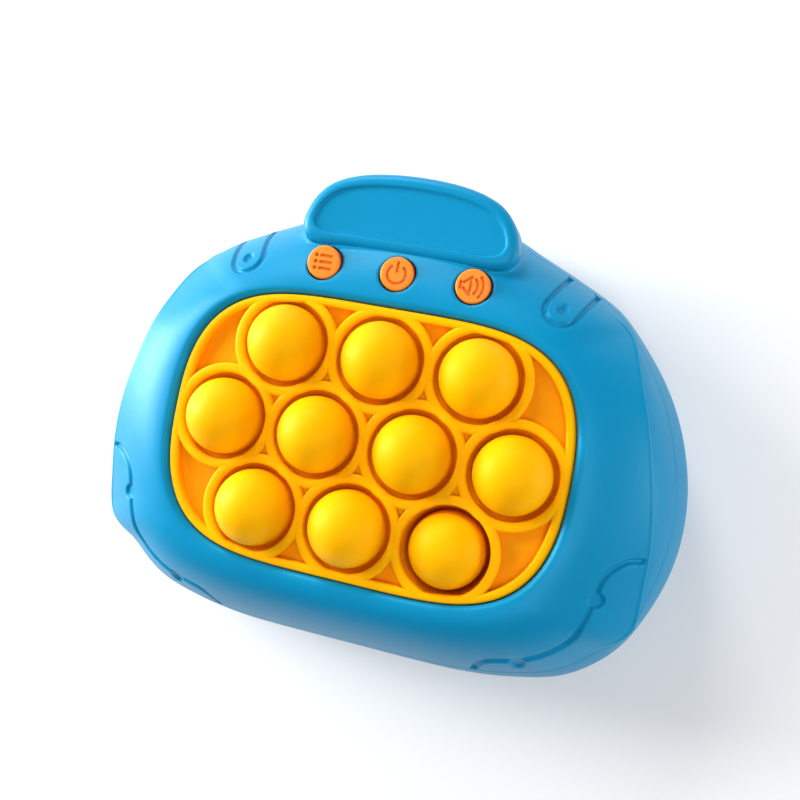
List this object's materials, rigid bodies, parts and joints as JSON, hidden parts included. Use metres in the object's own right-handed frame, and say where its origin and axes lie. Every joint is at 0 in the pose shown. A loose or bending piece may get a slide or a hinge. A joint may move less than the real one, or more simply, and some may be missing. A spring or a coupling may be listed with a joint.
{
  "type": "electronic bubble pop game",
  "caption": "Hand-held push-bubble game: a soft silicone sheet of domes in a barrel-shaped window of a rounded two-part case with side grips, a raised crest and small keys above.",
  "frame": {"origin": "centre of the outline on the plane that the flat back rests on", "axes": "+X to the player's right, +Y towards the crest and keys, +Z out of the face with the bubbles"},
  "size_m": [0.172, 0.1332, 0.0561],
  "materials": {
    "case_blue": "moulded, soft gloss",
    "silicone_yellow": "smooth silicone, slightly glossy",
    "key_orange": "satin, symbols moulded in",
    "frame_white": "as moulded",
    "pad_silicone": "soft silicone",
    "board_green": "solder mask",
    "switch_black": "as moulded",
    "screw_steel": "zinc plated",
    "speaker_steel": "pressed sheet",
    "cone_black": "pulp cone",
    "magnet_iron": "ferrite",
    "cell_sleeve": "plain dark sleeve, no print",
    "contact_nickel": "nickel plated"
  },
  "bodies": {
    "case": {"front_shell": "case_blue", "rear_shell": "case_blue", "case_screw_upper_left": "screw_steel", "case_screw_upper_right": "screw_steel", "case_screw_side_left": "screw_steel", "case_screw_side_right": "screw_steel", "case_screw_lower_left": "screw_steel", "case_screw_lower_right": "screw_steel", "bubble_mat": "silicone_yellow", "mat_frame": "frame_white", "mat_frame_screw_upper_left": "screw_steel", "mat_frame_screw_upper_right": "screw_steel", "mat_frame_screw_lower_left": "screw_steel", "mat_frame_screw_lower_right": "screw_steel", "bubble_board": "board_green", "bubble_switch_top_1": "switch_black", "bubble_switch_top_2": "switch_black", "bubble_switch_top_3": "switch_black", "bubble_switch_middle_1": "switch_black", "bubble_switch_middle_2": "switch_black", "bubble_switch_middle_3": "switch_black", "bubble_switch_middle_4": "switch_black", "bubble_switch_bottom_1": "switch_black", "bubble_switch_bottom_2": "switch_black", "bubble_switch_bottom_3": "switch_black", "bubble_board_screw_left": "screw_steel", "bubble_board_screw_right": "screw_steel", "button_pad": "pad_silicone", "button_board": "board_green", "button_board_screw_left": "screw_steel", "button_board_screw_right": "screw_steel", "speaker_frame": "speaker_steel", "speaker_cone": "cone_black", "speaker_magnet": "magnet_iron", "battery_1": "cell_sleeve", "battery_2": "cell_sleeve", "battery_3": "cell_sleeve", "contact_positive": "contact_nickel", "contact_bridge_right": "contact_nickel", "contact_bridge_left": "contact_nickel", "contact_negative": "contact_nickel"},
    "bubble_top_1_body": {"bubble_top_1": "silicone_yellow"},
    "bubble_top_2_body": {"bubble_top_2": "silicone_yellow"},
    "bubble_top_3_body": {"bubble_top_3": "silicone_yellow"},
    "bubble_middle_1_body": {"bubble_middle_1": "silicone_yellow"},
    "bubble_middle_2_body": {"bubble_middle_2": "silicone_yellow"},
    "bubble_middle_3_body": {"bubble_middle_3": "silicone_yellow"},
    "bubble_middle_4_body": {"bubble_middle_4": "silicone_yellow"},
    "bubble_bottom_1_body": {"bubble_bottom_1": "silicone_yellow"},
    "bubble_bottom_2_body": {"bubble_bottom_2": "silicone_yellow"},
    "bubble_bottom_3_body": {"bubble_bottom_3": "silicone_yellow"},
    "mode_button_body": {"mode_button": "key_orange"},
    "power_button_body": {"power_button": "key_orange"},
    "sound_button_body": {"sound_button": "key_orange"},
    "door": {"battery_door": "case_blue", "battery_door_screw": "screw_steel"}
  },
  "joints": [
    {"name": "bubble_top_1_push", "type": "slide", "parent": "case", "child": "bubble_top_1_body", "axis": [0, 0, 1], "range_m": [-0.0043, 0]},
    {"name": "bubble_top_2_push", "type": "slide", "parent": "case", "child": "bubble_top_2_body", "axis": [0, 0, 1], "range_m": [-0.0043, 0]},
    {"name": "bubble_top_3_push", "type": "slide", "parent": "case", "child": "bubble_top_3_body", "axis": [0, 0, 1], "range_m": [-0.0043, 0]},
    {"name": "bubble_middle_1_push", "type": "slide", "parent": "case", "child": "bubble_middle_1_body", "axis": [0, 0, 1], "range_m": [-0.0043, 0]},
    {"name": "bubble_middle_2_push", "type": "slide", "parent": "case", "child": "bubble_middle_2_body", "axis": [0, 0, 1], "range_m": [-0.0043, 0]},
    {"name": "bubble_middle_3_push", "type": "slide", "parent": "case", "child": "bubble_middle_3_body", "axis": [0, 0, 1], "range_m": [-0.0043, 0]},
    {"name": "bubble_middle_4_push", "type": "slide", "parent": "case", "child": "bubble_middle_4_body", "axis": [0, 0, 1], "range_m": [-0.0043, 0]},
    {"name": "bubble_bottom_1_push", "type": "slide", "parent": "case", "child": "bubble_bottom_1_body", "axis": [0, 0, 1], "range_m": [-0.0043, 0]},
    {"name": "bubble_bottom_2_push", "type": "slide", "parent": "case", "child": "bubble_bottom_2_body", "axis": [0, 0, 1], "range_m": [-0.0043, 0]},
    {"name": "bubble_bottom_3_push", "type": "slide", "parent": "case", "child": "bubble_bottom_3_body", "axis": [0, 0, 1], "range_m": [0, 0.0043]},
    {"name": "mode_button_press", "type": "slide", "parent": "case", "child": "mode_button_body", "axis": [0, 0, 1], "range_m": [-0.0012, 0], "stiffness_N_per_m": 800, "springref_m": 0.0002},
    {"name": "power_button_press", "type": "slide", "parent": "case", "child": "power_button_body", "axis": [0, 0, 1], "range_m": [-0.0012, 0], "stiffness_N_per_m": 800, "springref_m": 0.0002},
    {"name": "sound_button_press", "type": "slide", "parent": "case", "child": "sound_button_body", "axis": [0, 0, 1], "range_m": [-0.0012, 0], "stiffness_N_per_m": 800, "springref_m": 0.0002},
    {"name": "battery_door_tilt", "type": "hinge", "parent": "case", "child": "door", "pos_m": [-0.03055, -0.0203, 0.0003], "axis": [0, 1, 0], "range_deg": [0, 50]}
  ]
}
